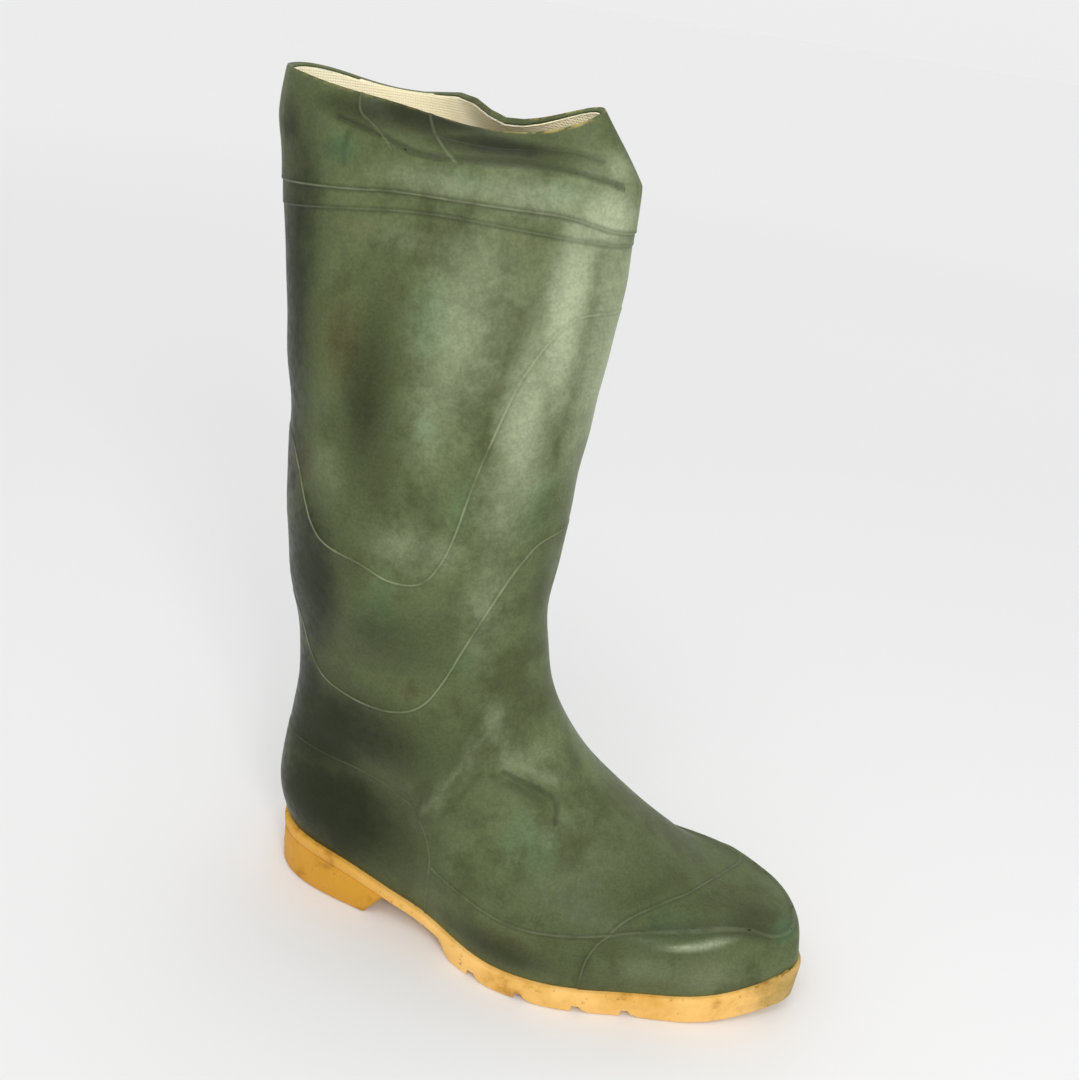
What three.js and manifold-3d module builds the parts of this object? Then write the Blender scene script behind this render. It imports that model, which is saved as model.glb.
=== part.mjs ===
// A tall rubber wellington boot for the right foot, standing empty on its sole.
// Four solids: the hollow upper, the outsole, the heel block under it, and the insole inside.
// X runs from heel to toe, Y to the inner side of the foot, Z up. Millimetres.
import * as THREE from "three";
import * as BufferGeometryUtils from "three/addons/utils/BufferGeometryUtils.js";
import Module from "manifold-3d";

// ---- driving dimensions

const TOE_END = 303; // X of the toe end of the upper's foot
const SOLE_EDGE = 3.5; // how far the sole stands out past the foot of the upper
const WALL = 2.2; // thickness of the rubber and its lining
const GAP = 0.3; // between pieces that touch
const STRIP = 7; // thickness of the sole in front of and above the heel block
const HEEL_BREAST = [63, 74]; // front face of the heel block: at the floor, and at its top
const HEEL_CORNER = 5; // radius where the front face meets the floor
const HEEL_CORNER_LEAN = 1.5; // how far the front face leans out over that radius
const HEEL_INSET = 0.8; // the heel block stands this far inside the sole's edge
const TREAD_START = 113; // where the forefoot tread begins
const TREAD_GROOVES = [133, 160, 190, 215]; // cross grooves, from the heel end
const GROOVE = { width: 4, depth: 3.5 };
const TOE_SPRING = { start: 238, rise: 9 }; // the toe end clears the floor by the rise
const INSOLE = { thickness: 4, clearance: 2.5 };
const AROUND = 48; // points round each ring of the upper
const SOLE_AROUND = 96; // points round the outline of the sole
const SOLE_STEP = 9; // spacing of the sole's sections along its length

// Half widths of the foot's print at fractions of its length, from the line that joins
// the back of the heel to the tip of the toe. The outer side bulges at the ball of the
// foot, the inner side is hollow at the arch.
const PRINT = {
  stations: [0.04, 0.15, 0.3, 0.42, 0.56, 0.7, 0.85, 0.95],
  outer: [21.5, 33, 43.5, 57.5, 65.5, 59, 47.5, 25.5],
  inner: [24.5, 33, 30, 27.5, 31, 40.5, 39.5, 30.5],
  heelRoundness: 64,
  toeRoundness: 68,
};
const TOE_BEND = { start: 250, shift: 11 }; // the tip of the toe lies this far to the outer side

// Height of the edge where upper and sole meet, along the foot.
const FEATHER = {
  x: [0, 38, 60, 87, 120, 155, 200, 245, 275, 303],
  z: [31.5, 30.5, 27, 19.5, 14.5, 13.3, 14.5, 16.8, 21.5, 31.5],
};

// Rings of the upper, from the sole to the fold of the collar. Each joins a point on the
// front profile to one on the back profile. Its plan is the footprint times `print` low
// on the foot and an oval of half width `oval` on the leg, mixed by `leg`. `follow` is
// how much of the curve of the sole's edge the ring takes.
const RINGS = [
  { front: [299.5, 31], back: [6.5, 31.4], print: 1, oval: 50, leg: 0, follow: 1 },
  { front: [297.5, 38.5], back: [0, 52], print: 1.03, oval: 50, leg: 0, follow: 0.8 },
  { front: [284.5, 48.5], back: [0.5, 73], print: 0.98, oval: 48, leg: 0, follow: 0.5 },
  { front: [247, 56], back: [3, 94], print: 0.88, oval: 44, leg: 0.1, follow: 0.25 },
  { front: [201, 79], back: [6.5, 115], print: 0.84, oval: 42, leg: 0.36, follow: 0.1 },
  { front: [157, 117], back: [7, 137], print: 0.84, oval: 37, leg: 0.72, follow: 0 },
  { front: [136, 166], back: [3, 160], print: 0.9, oval: 39, leg: 1, follow: 0 },
  { front: [134, 216], back: [-3.5, 203], print: 1, oval: 46, leg: 1, follow: 0 },
  { front: [138, 272], back: [-6, 266], print: 1, oval: 48, leg: 1, follow: 0 },
  { front: [141.8, 326], back: [-10, 320], print: 1, oval: 45.5, leg: 1, follow: 0 },
  { front: [145, 371], back: [-16, 369], print: 1, oval: 35, leg: 1, follow: 0 },
  { front: [143, 398.5], back: [-18, 402], print: 1, oval: 31, leg: 1, follow: 0 },
];

// The collar's rim, which is squashed nearly flat and dips: fractions of the way from its
// back to its front, the distance out from the middle, and the height.
const RIM = {
  back: [-16, 423],
  front: [122.5, 426],
  outer: {
    at: [0.1, 0.25, 0.42, 0.58, 0.72, 0.86, 0.95],
    out: [16, 23, 19, 12, 7, 8, 7],
    z: [421.5, 419, 416, 412, 411.5, 415, 420],
  },
  inner: {
    at: [0.1, 0.25, 0.42, 0.55, 0.65, 0.75, 0.86, 0.95],
    out: [17, 27, 31, 24, 11, 7, 9, 7],
    z: [422.5, 418.5, 419, 420.5, 416, 416, 420.5, 425],
  },
};

// Rows of the upper's grid, as ring numbers: closer where the foot curves and in the collar.
const COLLAR = RINGS.length;
const ROWS = [
  ...spread(0, 6, 18),
  ...spread(6, 10, 8),
  ...spread(10, 11, 3),
  ...spread(11, COLLAR, 7),
  COLLAR,
];

// ---- helpers

function spread(from, to, count) {
  return Array.from({ length: count }, (_, i) => from + ((to - from) * i) / count);
}

// Natural cubic spline through the points (xs, ys), as a function.
function spline(xs, ys) {
  const n = xs.length;
  const bend = new Array(n).fill(0);
  const rest = new Array(n).fill(0);
  for (let i = 1; i < n - 1; i++) {
    const share = (xs[i] - xs[i - 1]) / (xs[i + 1] - xs[i - 1]);
    const pivot = share * bend[i - 1] + 2;
    bend[i] = (share - 1) / pivot;
    const turn = (ys[i + 1] - ys[i]) / (xs[i + 1] - xs[i]) - (ys[i] - ys[i - 1]) / (xs[i] - xs[i - 1]);
    rest[i] = ((6 * turn) / (xs[i + 1] - xs[i - 1]) - share * rest[i - 1]) / pivot;
  }
  bend[n - 1] = 0;
  for (let i = n - 2; i >= 0; i--) bend[i] = bend[i] * bend[i + 1] + rest[i];
  return (x) => {
    let i = 0;
    while (i < n - 2 && x > xs[i + 1]) i++;
    const h = xs[i + 1] - xs[i];
    const a = (xs[i + 1] - x) / h;
    const b = (x - xs[i]) / h;
    const curve = ((a ** 3 - a) * bend[i] + (b ** 3 - b) * bend[i + 1]) * (h * h) / 6;
    return a * ys[i] + b * ys[i + 1] + curve;
  };
}

// The angle from the back of a ring whose point lies at this fraction of its depth.
const angleAt = (fraction) => Math.acos(1 - 2 * fraction);
const fractionAt = (angle) => (1 - Math.cos(angle)) / 2;
const clamp = THREE.MathUtils.clamp;
const mix = THREE.MathUtils.lerp;

// A footprint half width as a function of the angle from the back, rounded at both ends.
function printSide(halfWidths) {
  const angles = PRINT.stations.map(angleAt);
  const rounded = halfWidths.map((w, i) => w / Math.sin(angles[i]));
  return spline([0, ...angles, Math.PI], [PRINT.heelRoundness, ...rounded, PRINT.toeRoundness]);
}

function rimSide(side) {
  const angles = side.at.map(angleAt);
  return {
    out: spline([0, ...angles, Math.PI], [0, ...side.out, 0]),
    z: spline([0, ...angles, Math.PI], [RIM.back[1], ...side.z, RIM.front[1]]),
  };
}

const printOuter = printSide(PRINT.outer);
const printInner = printSide(PRINT.inner);
const rimOuter = rimSide(RIM.outer);
const rimInner = rimSide(RIM.inner);
const featherHeight = spline(FEATHER.x, FEATHER.z);
const ringIndex = RINGS.map((_, i) => i);
const along = (pick) => spline(ringIndex, RINGS.map(pick));
const ring = {
  frontX: along((r) => r.front[0]),
  frontZ: along((r) => r.front[1]),
  backX: along((r) => r.back[0]),
  backZ: along((r) => r.back[1]),
  print: along((r) => r.print),
  oval: along((r) => r.oval),
  leg: along((r) => r.leg),
  follow: along((r) => r.follow),
};

function toeBend(x) {
  const past = Math.max(0, x - TOE_BEND.start) / (TOE_END - TOE_BEND.start);
  return TOE_BEND.shift * past * past;
}

// A point of the upper's outer face. `row` is a ring number, `turn` goes once round from
// the front, over the inner side, to the back and home over the outer side.
function legPoint(row, turn) {
  const angle = turn <= Math.PI ? Math.PI - turn : turn - Math.PI;
  const side = Math.sin(turn);
  const u = fractionAt(angle);
  const x = mix(ring.backX(row), ring.frontX(row), u);
  const leg = clamp(ring.leg(row), 0, 1);
  const print = (side > 0 ? printInner : printOuter)(angle) * ring.print(row);
  const y = side * mix(print, ring.oval(row), leg) - (1 - leg) * toeBend(x);
  const chord = mix(RINGS[0].back[1], RINGS[0].front[1], u);
  const follow = clamp(ring.follow(row), 0, 1);
  const curve = featherHeight(clamp(x, 0, TOE_END)) - chord;
  const z = mix(ring.backZ(row), ring.frontZ(row), u) + follow * curve;
  return new THREE.Vector3(x, y, z);
}

function upperPoint(row, turn) {
  const foldRow = COLLAR - 1;
  if (row <= foldRow) return legPoint(row, turn);
  const angle = turn <= Math.PI ? Math.PI - turn : turn - Math.PI;
  const outer = turn > Math.PI;
  const rim = outer ? rimOuter : rimInner;
  const top = new THREE.Vector3(
    mix(RIM.back[0], RIM.front[0], fractionAt(angle)),
    rim.out(angle) * (outer ? -1 : 1),
    rim.z(angle),
  );
  const rise = row - foldRow;
  return legPoint(foldRow, turn).lerp(top, rise);
}

function meshFrom(points, faces) {
  const geometry = new THREE.BufferGeometry();
  const numbers = points.flatMap((p) => [p.x, p.y, p.z]);
  geometry.setAttribute("position", new THREE.Float32BufferAttribute(numbers, 3));
  geometry.setIndex(faces.flat());
  geometry.computeVertexNormals();
  return geometry;
}

// ---- the upper: an outer face, an inner face one wall inside it, joined at the rim and
// at the foot, where the sole closes it

function upperGeometry() {
  const turns = spread(0, 2 * Math.PI, AROUND);
  const outer = ROWS.map((row) => turns.map((turn) => upperPoint(row, turn)));
  const around = (row, j) => row[(j + AROUND) % AROUND];
  const inner = outer.map((row, i) =>
    row.map((point, j) => {
      const across = around(row, j + 1).clone().sub(around(row, j - 1));
      const up = outer[Math.min(i + 1, outer.length - 1)][j].clone().sub(outer[Math.max(i - 1, 0)][j]);
      const outward = across.cross(up);
      if (i === 0) outward.z = 0;
      return point.clone().addScaledVector(outward.normalize(), -WALL);
    }),
  );
  for (const point of inner[0]) point.z = featherHeight(clamp(point.x, 0, TOE_END));
  for (const point of [...outer[0], ...inner[0]]) point.z += GAP;

  const points = [...outer, ...inner].flat();
  const at = (sheet, i, j) => (sheet * ROWS.length + i) * AROUND + ((j + AROUND) % AROUND);
  const faces = [];
  const quad = (a, b, c, d) => faces.push([a, b, c], [a, c, d]);
  const last = ROWS.length - 1;
  for (let j = 0; j < AROUND; j++) {
    for (let i = 0; i < last; i++) {
      quad(at(0, i, j), at(0, i, j + 1), at(0, i + 1, j + 1), at(0, i + 1, j));
      quad(at(1, i, j), at(1, i + 1, j), at(1, i + 1, j + 1), at(1, i, j + 1));
    }
    quad(at(0, last, j), at(0, last, j + 1), at(1, last, j + 1), at(1, last, j));
    quad(at(0, 0, j + 1), at(0, 0, j), at(1, 0, j), at(1, 0, j + 1));
  }
  return meshFrom(points, faces);
}

// ---- solids cut from a plan outline and a side outline

const wasm = await Module();
wasm.setup();

function toSolid(geometry) {
  const bare = geometry.clone();
  bare.deleteAttribute("normal");
  bare.deleteAttribute("uv");
  const merged = BufferGeometryUtils.mergeVertices(bare, 1e-4);
  const mesh = new wasm.Mesh({
    numProp: 3,
    vertProperties: new Float32Array(merged.attributes.position.array),
    triVerts: new Uint32Array(merged.index.array),
  });
  return new wasm.Manifold(mesh);
}

function toGeometry(solid) {
  const mesh = solid.getMesh();
  const geometry = new THREE.BufferGeometry();
  geometry.setAttribute("position", new THREE.Float32BufferAttribute(mesh.vertProperties, 3));
  geometry.setIndex(Array.from(mesh.triVerts));
  geometry.computeVertexNormals();
  return geometry;
}

// The foot's outline seen from above, moved out by `offset`.
function planShape(offset) {
  const print = spread(0, 2 * Math.PI, SOLE_AROUND).map((turn) => legPoint(0, turn));
  const moved = print.map((point, j) => {
    const next = print[(j + 1) % SOLE_AROUND];
    const last = print[(j + SOLE_AROUND - 1) % SOLE_AROUND];
    const outward = new THREE.Vector2(next.y - last.y, last.x - next.x).normalize();
    return new THREE.Vector2(point.x, point.y).addScaledVector(outward, offset);
  });
  return new THREE.Shape(moved);
}

const TALL = 60; // more than the height of the whole sole
const WIDE = 200; // more than its width

function planSolid(offset) {
  const geometry = new THREE.ExtrudeGeometry(planShape(offset), { depth: 2 * TALL, bevelEnabled: false });
  return toSolid(geometry.translate(0, 0, -TALL));
}

function sideSolid(shape) {
  const geometry = new THREE.ExtrudeGeometry(shape, { depth: WIDE, bevelEnabled: false, curveSegments: 6 });
  return toSolid(geometry.rotateX(Math.PI / 2).translate(0, WIDE / 2, 0));
}

function sideShape(outline) {
  return new THREE.Shape(outline.map(([x, z]) => new THREE.Vector2(x, z)));
}

// Points (x, height(x)) between two places along the foot.
function run(from, to, height) {
  const count = Math.max(1, Math.round(Math.abs(to - from) / SOLE_STEP));
  return [...spread(from, to, count), to].map((x) => [x, height(clamp(x, 0, TOE_END))]);
}

const PAST_ENDS = 12; // side outlines run this far past both ends of the sole
const END = TOE_END + PAST_ENDS;
const START = -PAST_ENDS;

function spring(x) {
  const past = Math.max(0, x - TOE_SPRING.start) / (TOE_END - TOE_SPRING.start);
  return TOE_SPRING.rise * past * past;
}

// The outsole: a thin strip over heel and waist, a thick forefoot with cross grooves.
function outsoleGeometry() {
  const side = [
    ...run(START, END, featherHeight),
    ...run(END, TOE_SPRING.start, spring),
    [TREAD_START, 0],
    ...run(TREAD_START, START, (x) => featherHeight(x) - STRIP),
  ];
  let sole = planSolid(SOLE_EDGE).intersect(sideSolid(sideShape(side.reverse())));
  for (const x of TREAD_GROOVES) {
    const cutter = new THREE.BoxGeometry(GROOVE.width, WIDE, 2 * GROOVE.depth);
    sole = sole.subtract(toSolid(cutter.translate(x, 0, 0)));
  }
  return toGeometry(sole);
}

// The heel block: under the back of the strip, its front face sloping, its foot rounded.
function heelGeometry() {
  const [floor, top] = HEEL_BREAST;
  const under = (x) => featherHeight(x) - STRIP - GAP;
  const shape = new THREE.Shape();
  shape.moveTo(START, 0);
  shape.lineTo(floor - HEEL_CORNER, 0);
  shape.quadraticCurveTo(floor, 0, floor + HEEL_CORNER_LEAN, HEEL_CORNER);
  for (const [x, z] of run(top, START, under)) shape.lineTo(x, z);
  return toGeometry(planSolid(SOLE_EDGE - HEEL_INSET).intersect(sideSolid(shape)));
}

// The insole lies on the outsole, inside the wall of the upper.
function insoleGeometry() {
  const side = [
    ...run(START, END, (x) => featherHeight(x) + GAP),
    ...run(END, START, (x) => featherHeight(x) + GAP + INSOLE.thickness),
  ];
  return toGeometry(planSolid(-WALL - INSOLE.clearance).intersect(sideSolid(sideShape(side))));
}

// ---- the boot

const greenRubber = () => new THREE.MeshStandardMaterial({ color: 0x56624a, roughness: 0.5, metalness: 0 });
const gumRubber = () => new THREE.MeshStandardMaterial({ color: 0xd9a24f, roughness: 0.6, metalness: 0 });
const darkGum = () => new THREE.MeshStandardMaterial({ color: 0xb98535, roughness: 0.6, metalness: 0 });
const cream = () => new THREE.MeshStandardMaterial({ color: 0xe8dcb8, roughness: 0.9, metalness: 0 });

function piece(name, geometry, material) {
  const mesh = new THREE.Mesh(geometry, material);
  mesh.name = name;
  return mesh;
}

const boot = new THREE.Group();
boot.add(
  piece("upper", upperGeometry(), greenRubber()),
  piece("outsole", outsoleGeometry(), gumRubber()),
  piece("heel", heelGeometry(), darkGum()),
  piece("insole", insoleGeometry(), cream()),
);

// The origin is the middle of the bottom of the boot's box.
const box = new THREE.Box3().setFromObject(boot);
boot.position.set(-(box.min.x + box.max.x) / 2, -(box.min.y + box.max.y) / 2, -box.min.z);
boot.updateMatrixWorld(true);

export default boot;
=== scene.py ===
# %% [markdown]
# # A worn green wellington boot
#
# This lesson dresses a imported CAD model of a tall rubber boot. The CAD holds the true
# shape of the last; here its four solids get their finished surfaces: green rubber with
# moulded panels, a cream cotton lining, and a gum sole. Everything is in metres, in the
# frame of the CAD: X runs to the toe, Y to the inner side of the foot, Z up.

import math

import bmesh
import bpy
import numpy as np
from mathutils import Matrix, Vector


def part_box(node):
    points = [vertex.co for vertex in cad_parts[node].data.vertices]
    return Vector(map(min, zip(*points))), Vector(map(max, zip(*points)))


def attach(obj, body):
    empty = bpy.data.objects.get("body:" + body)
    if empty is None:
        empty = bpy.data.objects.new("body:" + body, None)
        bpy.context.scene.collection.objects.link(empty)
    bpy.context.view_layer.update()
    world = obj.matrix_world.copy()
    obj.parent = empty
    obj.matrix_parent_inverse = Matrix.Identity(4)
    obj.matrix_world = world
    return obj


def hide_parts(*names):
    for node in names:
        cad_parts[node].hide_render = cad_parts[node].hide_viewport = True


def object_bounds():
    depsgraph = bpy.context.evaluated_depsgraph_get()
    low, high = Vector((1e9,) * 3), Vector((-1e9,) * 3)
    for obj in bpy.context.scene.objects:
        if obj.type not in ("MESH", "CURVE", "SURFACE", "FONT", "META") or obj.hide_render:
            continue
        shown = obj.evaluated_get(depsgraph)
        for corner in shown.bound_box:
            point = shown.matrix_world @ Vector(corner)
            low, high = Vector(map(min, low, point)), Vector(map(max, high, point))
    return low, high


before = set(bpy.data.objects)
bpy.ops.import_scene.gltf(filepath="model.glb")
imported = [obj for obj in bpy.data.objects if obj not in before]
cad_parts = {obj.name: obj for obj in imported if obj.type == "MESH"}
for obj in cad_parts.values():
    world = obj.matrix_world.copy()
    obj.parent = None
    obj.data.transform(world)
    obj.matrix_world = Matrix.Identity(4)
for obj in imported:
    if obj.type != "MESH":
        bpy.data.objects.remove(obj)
cad_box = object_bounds()
print("CAD nodes:", sorted(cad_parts))

# %% [markdown]
# Places on the boot are easiest to think of as a maker would mark them: so many
# millimetres along from the end of the heel, across from the middle, and up from the
# floor. One helper turns such marks into metres, and two more read them back from
# arrays of vertices, because the shapes below are worked on all vertices at once.

# %% Marks on the boot
MM = 0.001
HEEL_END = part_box("outsole")[0].x
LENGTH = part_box("outsole")[1].x - HEEL_END
HEIGHT = cad_box[1].z


def spot(along, across, up):
    """A place on the boot, from millimetres to metres."""
    return Vector((HEEL_END + along * MM, across * MM, up * MM))


def marks(places):
    """Rows of (along, across, up) in millimetres, from rows of places in metres."""
    return (places - [HEEL_END, 0, 0]) / MM


print(f"sole {LENGTH / MM:.0f} mm long, boot {HEIGHT / MM:.0f} mm tall")

# %% [markdown]
# ## Camera
#
# The camera stands a little above the toe end of the boot's outer side and is rolled,
# as if held in the hand, so the leg leans over a few degrees. A long lens would flatten
# the boot; this one stands close, which makes the collar look larger than the heel.

# %% Camera
VIEW_AZIMUTH = math.radians(6.8)
VIEW_RISE = math.radians(27.1)
VIEW_DISTANCE = 1.84 * LENGTH
ROLL = math.radians(9)
boot_middle = Vector((0, 0, HEIGHT / 2))
back_off = Vector((
    math.sin(VIEW_AZIMUTH) * math.cos(VIEW_RISE),
    -math.cos(VIEW_AZIMUTH) * math.cos(VIEW_RISE),
    math.sin(VIEW_RISE),
))
aim = Vector((-0.017, 0, 0.232))
LENS = 38
NEAREST = 0.01

camera_data = bpy.data.cameras.new("camera")
camera_data.lens = LENS
camera_data.clip_start = NEAREST
camera = bpy.data.objects.new("camera", camera_data)
camera.location = boot_middle + back_off * VIEW_DISTANCE
level = (aim - camera.location).to_track_quat("-Z", "Y").to_matrix()
camera.rotation_euler = (level @ Matrix.Rotation(ROLL, 3, "Z")).to_euler()
bpy.context.scene.collection.objects.link(camera)
bpy.context.scene.camera = camera
print("camera at", tuple(round(c, 3) for c in camera.location))

# %% [markdown]
# ## Writing materials as sums
#
# A shader is maths on a surface: mix this much of that colour where a mask is high.
# Written as Python, `worn * (1 - shade)` is far easier to read than a tangle of nodes.
# `Amount` wraps one socket, and each operator on it adds the Math node that does it.
# `Finish` is one material; its `node` method makes every other kind of node.

# %% Amounts and finishes


class Amount:
    """A socket of a material, used like a number."""

    def __init__(self, finish, socket):
        self.finish = finish
        self.socket = socket

    def math(self, operation, *others):
        inputs = dict(enumerate([self, *others]))
        return self.finish.node("Math", {"operation": operation}, inputs)

    def __add__(self, other):
        return self.math("ADD", other)

    def __sub__(self, other):
        return self.math("SUBTRACT", other)

    def __rsub__(self, other):
        return self.finish.node("Math", {"operation": "SUBTRACT"}, {0: other, 1: self})

    def __mul__(self, other):
        return self.math("MULTIPLY", other)

    __radd__ = __add__
    __rmul__ = __mul__

    def ramp(self, low, high, start=0.0, end=1.0):
        """Smoothly from start to end as the amount goes from low to high."""
        settings = {"interpolation_type": "SMOOTHSTEP", "clamp": True}
        inputs = {"Value": self, "From Min": low, "From Max": high, "To Min": start, "To Max": end}
        return self.finish.node("MapRange", settings, inputs)


class Finish:
    """One material, and the method that makes its nodes."""

    def __init__(self, name):
        self.material = bpy.data.materials.new(name)
        self.material.use_nodes = True
        self.material.node_tree.nodes.clear()

    def node(self, kind, settings=None, inputs=None, output=0):
        made = self.material.node_tree.nodes.new("ShaderNode" + kind)
        for key, value in (settings or {}).items():
            setattr(made, key, value)
        for key, value in (inputs or {}).items():
            if isinstance(value, Amount):
                self.material.node_tree.links.new(value.socket, made.inputs[key])
            else:
                made.inputs[key].default_value = value
        return Amount(self, made.outputs[output])

    def place(self):
        return self.node("TexCoord", output="Object")

    def stored(self, name):
        """An amount painted on the piece's vertices."""
        return self.node("Attribute", {"attribute_name": name}, output="Fac")

    def noise(self, size, detail=3.0, rough=0.55, stretch=(1, 1, 1), shift=(0, 0, 0)):
        """Cloudy noise whose blotches are about `size` millimetres across."""
        where = {"Vector": self.place(), "Location": shift, "Scale": stretch}
        moved = self.node("Mapping", {}, where)
        inputs = {"Vector": moved, "Scale": 0.5 / (size * MM), "Detail": detail, "Roughness": rough}
        return self.node("TexNoise", {}, inputs)

    def blend(self, amount, first, second, how="MIX"):
        """The first colour where the amount is 0, the second where it is 1."""
        settings = {"data_type": "RGBA", "blend_type": how, "clamp_factor": True}
        return self.node("Mix", settings, {0: amount, 6: first, 7: second}, output=2)

    def surface(self, **inputs):
        """Finishes the material: a Principled surface, and what feeds each socket."""
        named = {
            key.replace("_", " ").title().replace("Ior", "IOR"): value
            for key, value in inputs.items()
        }
        shader = self.node("BsdfPrincipled", {}, named, output="BSDF")
        output = self.material.node_tree.nodes.new("ShaderNodeOutputMaterial")
        self.material.node_tree.links.new(shader.socket, output.inputs["Surface"])
        return self.material


def shade_of(*chart):
    """A colour as a paint chart gives it, 0 to 255, for a shader's linear sockets."""
    parts = [part / 255 for part in chart]
    linear = [c / 12.92 if c <= 0.04045 else ((c + 0.055) / 1.055) ** 2.4 for c in parts]
    return (*linear, 1)


print("worn green is", [round(c, 3) for c in shade_of(136, 148, 112)[:3]])

# %% [markdown]
# ## Light and floor
#
# The surround is a pale studio wall, lighter overhead; at the horizon it is as bright as
# the floor, so that the floor runs into it without an edge. A small panel in front gives
# the rubber its glints, another lights the collar's lining, and a broad one behind keeps
# the far side from going dull. The standard view transform keeps colours as mixed.

# %% Light
HORIZON = 0.85
OVERHEAD = 0.92

bpy.context.scene.view_settings.view_transform = "Standard"
world = bpy.data.worlds.new("surround")
world.use_nodes = True
sky = world.node_tree
direction = sky.nodes.new("ShaderNodeSeparateXYZ")
brightness = sky.nodes.new("ShaderNodeMapRange")
brightness.inputs["To Min"].default_value = HORIZON
brightness.inputs["To Max"].default_value = OVERHEAD
sky.links.new(sky.nodes.new("ShaderNodeTexCoord").outputs["Generated"], direction.inputs[0])
sky.links.new(direction.outputs["Z"], brightness.inputs["Value"])
sky.links.new(brightness.outputs["Result"], sky.nodes["Background"].inputs["Strength"])
sky.nodes["Background"].inputs["Color"].default_value = (1, 1, 1, 1)
bpy.context.scene.world = world


def panel_light(name, place, target, size, power):
    data = bpy.data.lights.new(name, "AREA")
    data.size = size
    data.energy = power
    made = bpy.data.objects.new(name, data)
    made.location = place
    made.rotation_euler = (Vector(target) - Vector(place)).to_track_quat("-Z", "Y").to_euler()
    bpy.context.scene.collection.objects.link(made)


panel_light("key_panel", (0.62, -1.15, 1.05), (0, 0, 0.2), 0.35, 6)
panel_light("collar_panel", (-0.1, -0.45, 1.0), (-0.06, 0.02, 0.38), 0.3, 1.2)
panel_light("back_panel", (0.3, 1.6, 1.2), (0, 0, 0.25), 1.2, 0.8)

# %% [markdown]
# The floor is a broad pale sheet, quite matt, so it takes only a soft shadow. It gets a
# little paler away from the panels' light, and so stays one tone as far as the horizon.

# %% Floor
FLOOR_NEAR = shade_of(234, 234, 234)
FLOOR_FAR = shade_of(247, 247, 247)
FLOOR_FADE = (0.3, 3.5)
FLOOR_REACH = 200


def pale_floor():
    finish = Finish("pale_floor")
    middle = {0: finish.place()}
    distance = finish.node("VectorMath", {"operation": "LENGTH"}, middle, output="Value")
    colour = finish.blend(distance.ramp(*FLOOR_FADE), FLOOR_NEAR, FLOOR_FAR)
    return finish.surface(base_color=colour, roughness=1.0, specular_ior_level=0.1)


floor_mesh = bmesh.new()
bmesh.ops.create_grid(floor_mesh, x_segments=1, y_segments=1, size=FLOOR_REACH)
floor_data = bpy.data.meshes.new("floor")
floor_mesh.to_mesh(floor_data)
floor_mesh.free()
floor = bpy.data.objects.new("floor", floor_data)
floor.data.materials.append(pale_floor())
bpy.context.scene.collection.objects.link(floor)
print("floor is staged")

# %% [markdown]
# ## Tools for the bench
#
# Three small tools serve every piece: one merges a copy of a CAD node, whose triangles
# come apart; one turns a finished bmesh into an object that rides on the boot; and one
# settles a modifier into the mesh, so that later steps can work on the result.

# %% Bench tools


def copy_of(node):
    mesh = bmesh.new()
    mesh.from_mesh(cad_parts[node].data)
    bmesh.ops.remove_doubles(mesh, verts=mesh.verts, dist=0.01 * MM)
    return mesh


def settle(mesh, kind, **settings):
    """A new bmesh: this one after one modifier."""
    data = bpy.data.meshes.new("bench")
    mesh.to_mesh(data)
    mesh.free()
    holder = bpy.data.objects.new("bench", data)
    bpy.context.scene.collection.objects.link(holder)
    modifier = holder.modifiers.new("bench", kind)
    for key, value in settings.items():
        setattr(modifier, key, value)
    bpy.context.view_layer.update()
    finished = holder.evaluated_get(bpy.context.evaluated_depsgraph_get()).to_mesh()
    result = bmesh.new()
    result.from_mesh(finished)
    bpy.data.objects.remove(holder)
    bpy.data.meshes.remove(data)
    return result


def piece(mesh, name, finish, node=None, sharp=35, painted=None):
    """A bmesh made into a piece of the boot, smooth but for its sharp edges."""
    data = bpy.data.meshes.new(name)
    mesh.to_mesh(data)
    mesh.free()
    for layer, amounts in (painted or {}).items():
        stored = data.attributes.new(layer, "FLOAT", "POINT")
        stored.data.foreach_set("value", amounts.astype(np.float32))
    data.shade_smooth()
    data.set_sharp_from_angle(angle=math.radians(sharp))
    made = bpy.data.objects.new(name, data)
    bpy.context.scene.collection.objects.link(made)
    data.materials.append(finish)
    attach(made, "root")
    if node:
        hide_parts(node)
    data.calc_loop_triangles()
    print(f"{name}: {len(data.loop_triangles)} triangles")


def spots_of(mesh):
    return np.array([v.co for v in mesh.verts])


def facings_of(mesh):
    mesh.normal_update()
    return np.array([v.normal for v in mesh.verts])


def move_to(mesh, places):
    for vert, place in zip(mesh.verts, places):
        vert.co = place


print("bench ready")

# %% [markdown]
# ## The skin of the last
#
# The CAD upper is a shell: an outer face and an inner one, joined at the collar and at
# the foot by narrow rings at right angles. Its triangles pair up into a clean grid, and
# a flood that stops at sharp edges finds the outer face. That grid, subdivided twice,
# is the smooth skin that rubber and lining are both cut from. The fold of the collar
# stays crisp, because its edges are creased first.

# %% Outer skin
SHARP_RING = math.radians(50)
FOLD_FROM = 0.9  # the collar's fold lies above this part of the height
FOLD_ANGLE = math.radians(8)
FOLD_CREASE = 0.75


def outer_face(mesh):
    """The largest run of faces, by area, that no sharp edge crosses."""
    waiting = set(mesh.faces)
    best = []
    while waiting:
        flood = [waiting.pop()]
        for face in flood:
            soft = [e for e in face.edges if e.calc_face_angle(0) < SHARP_RING]
            reached = {f for e in soft for f in e.link_faces} & waiting
            waiting -= reached
            flood += reached
        best = max(best, flood, key=lambda faces: sum(f.calc_area() for f in faces))
    return best


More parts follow.
